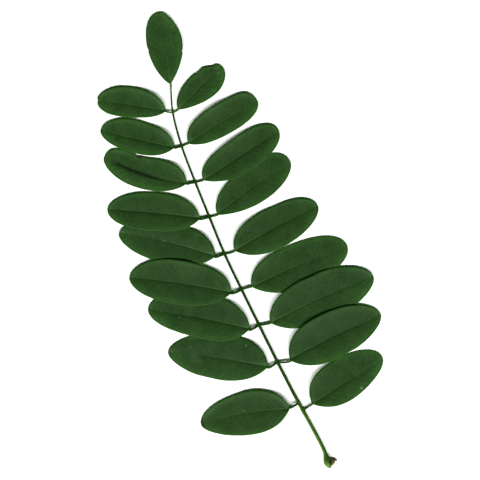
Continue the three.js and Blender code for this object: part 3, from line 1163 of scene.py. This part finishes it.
@dataclass(frozen=True)
class Stalk:
    """The leaf's own stalk: petiole and rachis, grooved above, with the swollen foot at its end.

    Attributes:
        length: From the foot's end to the tip leaflet, in mm.
        nodes: Where leaflets' stalks leave it, in mm from the foot's end.
    """

    length: float = 186.6
    nodes: tuple[float, ...] = ()

    # Middle line seen from above
    LINE = np.array([
        [0, 0], [0, 5.7], [-0.5, 13], [-3.2, 30.5], [-4.5, 39], [-6.3, 52.5], [-8.4, 71],
        [-10.35, 88.7], [-12.05, 106.4], [-12.8, 124.3], [-13.4, 141.1], [-13.6, 158.4],
        [-12.2, 173.9], [-8.7, 186.6],
    ])
    # The foot's outline: distance from the foot's end, its middle's shift to the right, radius
    FOOT = np.array([
        [-0.5, -0.3, 0.1], [-0.2, -0.26, 0.36], [0.1, -0.28, 0.6], [0.5, -0.4, 0.9],
        [0.9, -0.5, 1.12], [1.5, -0.54, 1.42], [2.2, -0.52, 1.64], [3.0, -0.45, 1.71],
        [4.1, -0.31, 1.53], [5.1, -0.27, 1.18], [6.0, -0.12, 0.96], [7.0, -0.1, 0.85],
        [9.0, -0.12, 0.8], [12.0, -0.16, 0.8], [25.0, -0.15, 0.8], [38.0, -0.08, 0.7],
        [45.0, 0.02, 0.7],
    ])
    # Above this distance the foot has passed into the plain stalk
    FOOT_TOP = 9.0
    LIFT = 0.3
    LIFT_DISTANCE = 5.0
    # Growth of the radius at a node, as a share, and how far it spreads each way
    NODE_SWELLING = (0.16, 1.3)
    # The groove on top: its depth as a share of the radius, and half its width as a turn
    GROOVE = (0.16, 0.38)
    # The hollow's depth as a share of the radius, and its rim's height, place and width
    HOLLOW_DEPTH = 0.6
    HOLLOW_RIM = (0.09, 1.08, 0.14)
    HOLLOW_ALONG = 2.5
    HOLLOW_TURN = math.radians(6)
    HOLLOW_SIZE = (1.4, math.radians(57))
    # Spots on the foot: strength, distance from the end, turn, and size along and round it
    DIMPLE = (0.16, 4.5, 1.75, 0.45, 0.4)
    # A painted highlight on the top of the bulb, added to the paleness
    PAINTED_HIGHLIGHT = (0.95, 1.4, 1.85, 0.8, 0.45)
    SIDES = 64
    # Height of the section as a share of its width
    FLATNESS = 0.75
    # Distances from the foot, and the radius there without foot and nodes
    RADII = (
        (0.0, 24.0, 40.0, 97.0, 120.0, 150.0, 164.0, 187.0),
        (0.8, 0.8, 0.685, 0.55, 0.535, 0.46, 0.44, 0.29),
    )
    # Distances from the foot, and how pale the stalk's lit left side is there, partly painted light
    PALE_LIT_SIDE = ((0.5, 4.5, 8.0, 12.0, 24.0, 36.0), (0.45, 0.5, 0.85, 1.0, 1.0, 0.0))
    # Distances from the foot, and the share of painted shade, a darker green, there
    SHADED = ((34.0, 45.0, 60.0, 80.0, 97.0, 115.0, 187.0), (0.0, 0.3, 0.3, 0.5, 0.85, 0.6, 0.3))

    def radius(self, y: Array) -> Array:
        """Radius without foot and nodes."""
        return np.interp(y, *self.RADII)

    def middle(self, y: Array) -> Array:
        """Middle line, lifted near the foot by exp(-y / 5).

        Args:
            y: Distances from the foot's end, in mm.

        Returns:
            Points on the line, one a row.
        """
        line = smooth_path(self.LINE, 400)
        x = np.interp(y, line[:, 1], line[:, 0])
        lift = self.LIFT * np.exp(-np.maximum(y, 0) / self.LIFT_DISTANCE)
        z = self.FLATNESS * self.radius(y) + SURFACE_GAP + lift
        return np.stack([x, y, z], axis=-1)

    def spot(self, along: Array, turn: Array, stated: tuple[float, ...]) -> Array:
        """Strength of a spot on the stalk's skin: a bell curve both ways.

        Args:
            along: Distances from the foot's end, in mm.
            turn: Turns round the stalk.
            stated: The spot, as DIMPLE states one.

        Returns:
            Its strength at each distance and turn.
        """
        strength, middle, middle_turn, length, width = stated
        away = np.hypot((along - middle) / length, (turn - middle_turn) / width)
        return strength * bell(away, 1.0)

    def skin(self) -> Skin:
        """Builds the stalk.

        Rings stand 0.1 mm apart along the foot and 0.5 mm apart above it. The section is a circle
        with a groove on top, and the torn hollow pushes the foot's side in.

        Returns:
            The closed surface.
        """
        foot = smooth_path(self.FOOT, 200)
        y = np.concatenate(
            [np.arange(-0.5, self.FOOT_TOP, 0.1), np.arange(self.FOOT_TOP, self.length + 1.5, 0.5)]
        )
        path = self.middle(y)
        path[:, 0] += np.interp(y, foot[:, 0], foot[:, 1])
        along = y[:, None]
        swelling, spread = self.NODE_SWELLING
        plain = self.radius(y) * (1 + swelling * bell(along - self.nodes, spread).sum(axis=1))
        radii = np.where(y < self.FOOT_TOP, np.interp(y, foot[:, 0], foot[:, 2]), plain)
        path[:, 2] = np.maximum(path[:, 2], self.FLATNESS * radii + STALK_GAP)
        turn = turns(self.SIDES)[None, :]
        depth, width = self.GROOVE
        groove = depth * smooth_step(3.0, self.FOOT_TOP, along) * bell(turn - np.pi / 2, width)
        off = np.angle(np.exp(1j * (turn - self.HOLLOW_TURN)))
        away = (along - self.HOLLOW_ALONG) / self.HOLLOW_SIZE[0]
        aside = off / self.HOLLOW_SIZE[1]
        out, bearing = np.hypot(away, aside), np.arctan2(aside, away)
        out = out * (1 + 0.1 * np.sin(3 * bearing + 1) + 0.07 * np.sin(7 * bearing))
        hollow = 1 - smooth_step(0.55, 1.0, out)
        rim_height, rim_place, rim_width = self.HOLLOW_RIM
        rim = rim_height * bell(out - rim_place, rim_width)
        share = (1 - groove) * (1 - self.HOLLOW_DEPTH * hollow) + rim
        rings, poles = tube(path, radii, share - self.spot(along, turn, self.DIMPLE))
        flatten(rings, path, self.FLATNESS)
        # Painted light: the left side, which the light reaches, keeps its paleness and the right side
        # loses most of it
        left = smooth_step(-0.1, 0.9, -np.cos(turn))
        shaded_side_loss = 0.85 - 0.4 * smooth_step(7.0, 4.0, along)
        pale_and_painted_light = 1.25 * np.interp(along, *self.PALE_LIT_SIDE) * (1 - shaded_side_loss * (1 - left))
        values = {
            "up": 6 * np.abs(off),
            "along": along,
            # The paleness takes the painted highlight on the foot
            "pale_and_painted_light": pale_and_painted_light + self.spot(along, turn, self.PAINTED_HIGHLIGHT),
            "shaded": np.interp(along, *self.SHADED),
            # The hollow's near-black is partly painted shade
            "hollow": 1 - smooth_step(0.7, 0.98, out),
        }
        return Skin(rings, poles, values)


@dataclass(frozen=True)
class BladeStalk:
    """A leaflet's own short stalk, from inside the leaf's stalk to beneath the blade's base."""

    blade: Blade
    stalk: Stalk
    root: float = 3.2

    SIDES = 20
    RINGS = 40
    # Height of the section as a share of its width
    FLATNESS = 0.8
    # The groove on top: its depth as a share of the radius, and half its width as a turn
    GROOVE = (0.1, 0.5)
    # How far beneath the middle of the blade's thickness it ends, in mm
    UNDER = 0.3

    def skin(self) -> Skin:
        """Builds the stalk.

        It is a tube that swells by a fifth half way and tapers under the blade. It is paler the
        nearer it stands to the leaf's tip, and on the right also towards the blade.

        Returns:
            The closed surface.
        """
        shift, lift, radius = self.blade.carrier
        start = self.stalk.middle(np.array([self.blade.node]))[0]
        along, distal_way = self.blade.directions()
        heights = tuple(height * Blade.CLOSER for height in self.blade.height)
        aside = -shift * distal_way
        base = self.blade.start() + [0.0, 0.0, heights[0] - Blade.DIP] + aside
        middle = (start + base) / 2 + aside
        middle[2] = SURFACE_GAP + radius + lift
        inside = self.blade.start() + along * self.root
        inside[2] = parabola(heights, self.root / self.blade.length) - self.UNDER
        path = smooth_path(np.stack([start, middle, base, inside]), self.RINGS)
        s = np.linspace(0, 1, self.RINGS)
        radii = radius * (1 + 0.2 * np.sin(np.pi * s) ** 2) * (1 - 0.65 * smooth_step(0.6, 1, s))
        turn = turns(self.SIDES)[None, :]
        depth, width = self.GROOVE
        rings, poles = tube(path, radii, 1 - depth * bell(turn - np.pi / 2, width))
        flatten(rings, path, self.FLATNESS)
        fresh_end = 0.35 * smooth_step(0.25, 0.5, s) * (self.blade.side is Side.RIGHT)
        values = {
            "up": 3 * np.cos(turn),
            "along": 8 * s[:, None],
            "pale_and_painted_light": 0.9 * smooth_step(155, 187, self.blade.node) + fresh_end[:, None],
            "shaded": 0.0,
            "hollow": 0.0,
        }
        return Skin(rings, poles, values)


@dataclass(frozen=True)
class TornEnd:
    """What is left in the foot where it was torn from the twig: two flaps and a tuft of fibres."""

    flap_stops: tuple[tuple[tuple[float, float, float], ...], ...] = (
        ((0.6, 3.1, 0.8), (1.6, 3.0, 0.75), (2.7, 2.6, 0.6), (3.9, 1.75, 0.45)),
        ((0.3, 1.2, 0.8), (1.2, 1.3, 0.8), (2.0, 1.5, 0.75), (2.95, 1.9, 0.6)),
    )
    flap_widths: tuple[float, ...] = (0.78, 0.8)
    # How far each flap goes from the dark of the roots to the straw of the ends
    # The first flap keeps mostly the dark, partly painted shade on its side away from the light
    flap_fades: tuple[float, ...] = (0.22, 0.8)
    fibres: int = 22
    fibre_radius: float = 0.05
    seed: int = 11

    # A flap's width as a multiple of its thickness
    FLAP_THINNESS = 6
    FLAP_RINGS = 60
    FLAP_SIDES = 32
    FIBRE_RINGS = 12
    FIBRE_SIDES = 8

    def flap(
        self, stops: tuple[tuple[float, float, float], ...], width: float, fade: float
    ) -> Skin:
        """Builds a flap: a flat, ragged tube that narrows to its end.

        The section is an ellipse six times as wide as it is thick. The width falls with the square
        root of the way left, and three sine waves make its edges ragged.

        Args:
            stops: Points of its middle line.
            width: Half its width at the root, in mm.
            fade: How far its colour goes from the roots' to the ends'.

        Returns:
            The closed surface.
        """
        path = smooth_path(np.array(stops), self.FLAP_RINGS)
        s = np.linspace(0, 1, self.FLAP_RINGS)
        turn = turns(self.FLAP_SIDES)[None, :]
        ragged = 1 + 0.16 * np.sin(19 * s) + 0.1 * np.sin(43 * s + 1) + 0.05 * np.sin(71 * s + 2)
        radii = width * np.sqrt(1.02 - s**1.5) * ragged
        made, poles = tube(path, radii, 1 / np.hypot(np.cos(turn), np.sin(turn) * self.FLAP_THINNESS))
        return Skin(made, poles, {"reach": fade * smooth_step(0.0, 0.5, s)[:, None]})

    def fibre(self, draw: np.random.Generator) -> Skin:
        """Builds one fibre: a thin tapering tube that bends up and out of the hollow.

        Args:
            draw: Source of the random draws.

        Returns:
            The closed surface.
        """
        root = np.array([0.7, 2.2, 1.0]) + draw.uniform(-1, 1, 3) * [0.3, 0.9, 0.3]
        way = np.array([1.0, -0.35, 0.0]) + draw.normal(0, 1, 3) * [0.2, 0.45, 0.2]
        way *= draw.uniform(0.6, 1.1) / np.linalg.norm(way)
        bend = draw.normal(0, 0.12, 3)
        stops = np.stack([root, root + way / 2 + bend, root + way])
        s = np.linspace(0, 1, self.FIBRE_RINGS)
        radii = self.fibre_radius * (1 - 0.75 * s)
        rings, poles = tube(
            smooth_path(stops, self.FIBRE_RINGS), radii, np.ones((1, self.FIBRE_SIDES))
        )
        return Skin(rings, poles, {"reach": s[:, None]})

    def skins(self) -> list[Skin]:
        """Builds both flaps and every fibre.

        Returns:
            Their closed surfaces.
        """
        draw = np.random.default_rng(self.seed)
        flaps = [
            self.flap(*stated)
            for stated in zip(self.flap_stops, self.flap_widths, self.flap_fades)
        ]
        return flaps + [self.fibre(draw) for _ in range(self.fibres)]


# Short names for the sides and halves in the rows below
L, R = Side.LEFT, Side.RIGHT
D, P = Half.DISTAL, Half.PROXIMAL
BLADES = (
    Blade(
        R, 0, 183.4, (-8.7, 186.6), -12, 32.8,
        (3.4, 7.05, 8.1, 5.75), (2.7, 6.85, 7.7, 4.15), 0, (0.9, 0.6, 0.5), (0.5, 0.5),
        skew=(-0.1, 0.4), nicks=(Nick(D, 0.5, 0.4, 0.7, 1.0), Nick(P, 0.425, 0.3, 0.7)),
        marks=(Mark(0.52, 6.0, 0.4, bruise=0.6),), shade=(1.02, 1.1),
    ),
    Blade(
        L, 1, 173.9, (-14.7, 176.1), 62, 31.4,
        (4.75, 7.9, 8.2, 4.95), (2.5, 4.85, 5.65, 4.45), 0.2, (1.2, 0.5, 0.4), (0.7, 0.3),
        skew=(-0.5, 0.7), bulge=-0.2, notch=0.45, lifts=(Lift(0.15, 0.8, 0.15),),
        shade=(1.03, 0.96), carrier=(0.05, 0.9, 0.33),
    ),
    Blade(
        L, 2, 158.4, (-16.7, 159.3), 57.5, 34.1,
        (5, 7.7, 8.25, 5.4), (3.5, 6.45, 6.3, 3.9), -0.3, (1.3, 0.9, 0.9), (0.4, 0.8),
        skew=(-0.4, 0.3), fold=0.4, bulge=-0.2, lifts=(Lift(0.1, 0.75, 0.15),), shade=(1.02, 1.1),
        carrier=(0, 0.45, 0.42),
    ),
    Blade(
        L, 3, 141.1, (-16.9, 142.4), 53, 39,
        (5.1, 6.75, 5.95, 5.4), (4.05, 8.1, 8.5, 5.15), -2, (1.4, 0.3, 0.3), (0.4, 0.8),
        skew=(-0.7, 0.1), fold=0.2, bulge=-0.12, crevice=0.6,
        nicks=(Nick(D, 0.56, 0.5, 5.0, 0.25), Nick(D, 0.635, 0.4, 1.2, 0.5)),
        marks=(Mark(0.598, 6.65, 0.75, bruise=1.0), Mark(0.622, 6.5, 0.75, bruise=1.0)),
        lifts=(Lift(0.18, 0.65, 0.15),), shade=(0.95, 1.18), carrier=(-0.05, 0.45, 0.45),
    ),
    Blade(
        L, 4, 124.3, (-16.8, 125.6), 65, 41.8,
        (6.2, 9.45, 9.15, 5.65), (4.1, 7.5, 7.8, 5.35), 0.3, (1.5, 0.8, 0.6), (0.4, 0.9),
        skew=(-0.7, 0.3), fold=0.45, bulge=0.0, lifts=(Lift(0.1, 0.3, 0.15),),
        shade=(0.93, 0.9), carrier=(0.05, 0.55, 0.5),
    ),
    Blade(
        L, 5, 106.4, (-16.1, 107.1), 56.5, 44.6,
        (6.6, 9.85, 8.3, 5.4), (4.3, 8.1, 8.3, 5.1), 0.9, (1.6, 0.3, 0.4), (0.1, 0.1),
        skew=(-0.5, -0.1), fold=0.3, bulge=0.4, marks=(Mark(0.537, 0.1, 0.35, fleck=0.2),),
        lifts=(Lift(0.15, 0.5, 0.15),), shade=(0.87, 0.86), carrier=(0.1, 0.6, 0.52),
    ),
    Blade(
        L, 6, 88.7, (-14.9, 89.2), 62, 46.5,
        (7.2, 10.55, 10.9, 6.75), (4.55, 8.5, 8.65, 5.55), 0.7, (1.4, 0.9, 0.6), (0.5, 0.6),
        skew=(-0.3, 0.5), fold=0.35, bulge=0.0, lifts=(Lift(0.08, 0.25, 0.1), Lift(0.5, 0.85, 0.25)),
        shade=(0.86, 0.88), carrier=(0.25, 0.8, 0.54),
    ),
    Blade(
        L, 7, 71, (-12.9, 71), 59, 46.6,
        (7.3, 11.4, 10.6, 6.5), (5.1, 8.5, 7.9, 5.35), 0.5, (1.7, 0.4, 0.4), (0.4, 1.1),
        skew=(-0.3, 0.6), fold=0.4, bulge=0.1, marks=(Mark(0.685, -1.4, 0.35, fleck=0.2),),
        lifts=(Lift(0.12, 0.7, 0.15),), shade=(0.81, 1.02), carrier=(0.25, 0.8, 0.52),
    ),
    Blade(
        L, 8, 52.5, (-10.9, 52.3), 62.3, 45.4,
        (7.75, 11.8, 11, 6.25), (4.7, 8.8, 8.5, 4.85), 0.7, (1.7, 0.3, 0.3), (0, 0.6),
        skew=(-0.3, 0.5), fold=0.2, bulge=0.3,
        marks=(
            Mark(0.242, 7.4, 0.3, fleck=0.35), Mark(0.789, 3.5, 0.3, fleck=0.12),
            Mark(0.73, -1.5, 1.8, fleck=0.06), Mark(0.69, -2.1, 1.2, fleck=0.05),
        ),
        lifts=(Lift(0.15, 0.3, 0.15),), shade=(0.81, 0.98),
        nicks=(Nick(P, 0.57, 0.3, 4.0),), carrier=(0.3, 0.8, 0.52),
    ),
    Blade(
        L, 9, 32, (-8.07, 31.14), 80, 40.74,
        (6.6, 10.9, 10, 5.95), (4.75, 8.65, 7.9, 4.35), 1.2, (1.3, 0.3, 0.3), (0.8, 0.5),
        skew=(0.2, -0.1), fold=0.15, bulge=-0.25, tip_bruise=0.9,
        marks=(Mark(0.5, 1.3, 0.35, fleck=0.2),),
        shade=(0.92, 0.9), lifts=(Lift(0.1, 0.35, 0.1),), carrier=(0.05, 1.0, 0.47),
    ),
    Blade(
        R, 10, 173.9, (-9.4, 174.6), -66, 27.7,
        (3.65, 6.5, 6.5, 3.9), (2.1, 5.3, 6.8, 4.6), 0.2, (1, 0.5, 0.5), (0.6, 0.4),
        skew=(-0.1, 0.2),
        nicks=(
            Nick(D, 0.63, 0.3, 1.6), Nick(D, 0.755, -0.42, 1.5), Nick(D, 0.86, 0.1, 0.9, 0.7),
            Nick(D, 0.893, 0.45, 0.7, 0.9), Nick(D, 0.97, -0.1, 0.8),
        ),
        marks=(
            Mark(0.855, 2.3, 0.5, bruise=0.7), Mark(0.833, 2.2, 0.6, bruise=0.8),
            Mark(0.812, 2.1, 0.45, bruise=0.7), Mark(0.885, -0.8, 0.4, fleck=0.25),
        ),
        shade=(0.96, 1.06), carrier=(0, 0.3, 0.34),
    ),
    Blade(
        R, 11, 158.4, (-10.4, 158.9), -79.3, 36.6,
        (5.65, 8.3, 8.4, 6.65), (2.8, 5.45, 5.9, 4.3), 0.4, (1.3, 0.4, 0.4), (0.7, 0.4),
        skew=(-0.4, 0.8), bulge=-0.12, lifts=(Lift(0.1, 0.25, 0.15), Lift(0.48, 1.15, 0.26)),
        shade=(0.91, 1.09), carrier=(-0.1, 0.2, 0.36),
    ),
    Blade(
        R, 12, 141.1, (-9.7, 141), -77.3, 40.8,
        (5.55, 7.9, 8.4, 5.8), (3.45, 7.5, 7.8, 5.45), 0, (1.4, 0.7, 0.6), (0.5, 0.9),
        skew=(-0.2, 1.5), fold=0.35, lifts=(Lift(0.1, 0.25, 0.15), Lift(0.5, 0.95, 0.22)),
        shade=(0.9, 0.93), carrier=(0, 0.2, 0.36),
    ),
    Blade(
        R, 13, 124.3, (-9.1, 124.5), -74.5, 40.8,
        (5.9, 9.5, 10.2, 6.85), (2.75, 6.6, 7.45, 5.1), 0.5, (1.5, 0.3, 0.3), (0, 0.5),
        skew=(-0.6, 1.4), fold=0.35, lifts=(Lift(0.1, 0.3, 0.15), Lift(0.3, 0.6, 0.2)),
        shade=(0.89, 1), carrier=(0, 0.2, 0.36),
    ),
    Blade(
        R, 14, 106.4, (-7.3, 106.3), -81.8, 42.6,
        (6.5, 9.7, 9.5, 6.05), (4.35, 8.5, 8.45, 5.25), 0.6, (1.6, 0.5, 0.4), (0.7, 0.9),
        skew=(-0.1, 0.6), fold=0.4, lifts=(Lift(0.2, 0.45, 0.15),), shade=(0.86, 0.96),
        nicks=(Nick(D, 0.57, 0.25, 4.0),), carrier=(0.25, 0.3, 0.36),
    ),
    Blade(
        R, 15, 88.7, (-5.6, 88.5), -87, 46.8,
        (7.1, 10.45, 10.15, 6.55), (4.5, 9.1, 9.4, 6.2), 0.6, (1.6, 0.3, 0.3), (0.1, 0),
        skew=(-0.2, 0.4), fold=0.45, lifts=(Lift(0.1, 0.5, 0.15), Lift(0.25, 0.6, 0.15)),
        shade=(0.88, 0.86), carrier=(-0.1, 0.45, 0.41),
    ),
    Blade(
        R, 16, 71, (-3.3, 70.4), -86, 50.9,
        (7.55, 11.7, 11.65, 6.85), (4.8, 9.3, 9.45, 5.75), 0.8, (1.7, 0.6, 0.4), (1, 0),
        skew=(-0.2, 0.4), fold=0.35, lifts=(Lift(0.1, 0.5, 0.15), Lift(0.42, 0.45, 0.2)),
        shade=(0.83, 0.92), nicks=(Nick(D, 0.5, 0.55, 5.0),), carrier=(0.1, 0.45, 0.42),
    ),
    Blade(
        R, 17, 52.5, (-0.6, 52.2), -84.5, 45.6,
        (8.25, 11.65, 11.2, 6.75), (4.9, 9.1, 8.7, 5), 0.5, (1.8, 0.7, 0.4), (1, 0.7),
        skew=(-0.9, 0.6), fold=0.4,
        lifts=(
            Lift(0.12, 0.6, 0.18), Lift(0.32, 0.7, 0.13), Lift(0.5, 0.7, 0.15),
            Lift(0.68, 0.5, 0.15),
        ),
        shade=(0.82, 0.96), nicks=(Nick(P, 0.54, 0.35, 3.5),), carrier=(0.35, 0.7, 0.42),
    ),
    Blade(
        R, 18, 28.3, (2, 29.7), -76.4, 38,
        (7.68, 10.95, 10.1, 5.9), (4.12, 8.2, 7.65, 4.75), -0.3, (1.7, 0.4, 0.3), (0.1, 0.6),
        skew=(-0.3, 0.8), fold=0.55, marks=(Mark(0.587, -6.1, 0.4, fleck=0.5),),
        lifts=(Lift(0.12, 1.3, 0.16), Lift(0.32, 1, 0.15)), shade=(0.89, 1.03),
        carrier=(0, 0.3, 0.38),
    ),
)


@dataclass
class Leaf:
    """The whole leaf: its stalk, and nineteen blades on their own short stalks."""

    blades: tuple[Blade, ...] = BLADES

    def build(self) -> None:
        """Makes every piece of the leaf, with one material for each kind of surface."""
        upper, under = UpperSkin().material(), UnderSkin().material()
        green, torn = StalkSkin().material(), TornTissue().material()
        stalk = Stalk(nodes=tuple(sorted({blade.node for blade in self.blades})))
        make_piece("stalk", [stalk.skin()], [green])
        make_piece("foot_torn_tissue", TornEnd().skins(), [torn])
        for blade in self.blades:
            beside = [
                other for other in self.blades
                if other.side is blade.side and abs(other.number - blade.number) == 1
            ]
            make_piece(blade.name, [blade.skin(beside)], [upper, under])
            carrier = BladeStalk(blade, stalk)
            name = blade.name.replace("leaflet", "leaflet_stalk")
            make_piece(name, [carrier.skin()], [green])


@dataclass
class Studio:
    """Camera above the leaf, a white floor, a broad light from the picture's foot, a soft fill."""

    # Middle of the picture in the model's frame, and the size of the picture on the floor, in mm
    centre: tuple[float, float] = (0.97, 0.32)
    picture: float = 216.0
    # The leaf's axis leans to the left in the picture
    lean: float = 20.0
    lens: float = 180.0
    sensor: float = 36.0
    light_way: tuple[float, float, float] = (-0.24, -0.66, 0.71)
    light_distance: float = 3000.0
    light_size: tuple[float, float] = (7200.0, 600.0)
    light_power: float = 325.0
    # The fill is green, as the light is that reaches a shadow through thin blades
    fill: float = 0.065
    fill_colour: str = "#a0ffa0"
    floor_size: float = 4000.0

    def camera(self) -> None:
        """Makes the camera, straight above the leaf, with a long lens."""
        data = bpy.data.cameras.new("camera")
        data.lens, data.sensor_width = self.lens, self.sensor
        made = add_object("camera", data)
        height = self.picture / self.sensor * self.lens
        made.location = Vector((*self.centre, height)) * MM
        made.rotation_euler = (0.0, 0.0, -math.radians(self.lean))
        bpy.context.scene.camera = made

    def floor(self) -> None:
        """Makes the floor, a plain white square on the level that the leaf lies on."""
        reach = self.floor_size / 2 * MM
        corners = [(-reach, -reach, 0), (reach, -reach, 0), (reach, reach, 0), (-reach, reach, 0)]
        mesh = bpy.data.meshes.new("floor")
        mesh.from_pydata(corners, [], [(0, 1, 2, 3)])
        mesh.materials.append(Paper().material())
        add_object("floor", mesh)

    def lights(self) -> None:
        """Makes the broad light and the even fill."""
        data = bpy.data.lights.new("strip_light", "AREA")
        data.shape = "RECTANGLE"
        data.size, data.size_y = (side * MM for side in self.light_size)
        data.energy = self.light_power
        made = add_object("strip_light", data)
        way = Vector(self.light_way).normalized()
        made.location = way * self.light_distance * MM
        made.rotation_euler = way.to_track_quat("Z", "Y").to_euler()
        world = bpy.data.worlds.new("soft_fill")
        world.use_nodes = True
        background = world.node_tree.nodes["Background"]
        background.inputs["Color"].default_value = linear(self.fill_colour)
        background.inputs["Strength"].default_value = self.fill
        bpy.context.scene.world = world

    def build(self) -> None:
        """Sets up the whole studio."""
        self.camera()
        self.floor()
        self.lights()
        bpy.context.scene.view_settings.view_transform = "Standard"


def main() -> None:
    """Builds the studio and the leaf."""
    logging.basicConfig(level=logging.INFO, format="%(name)s: %(message)s")
    Studio().build()
    Leaf().build()


if __name__ == "__main__":
    main()
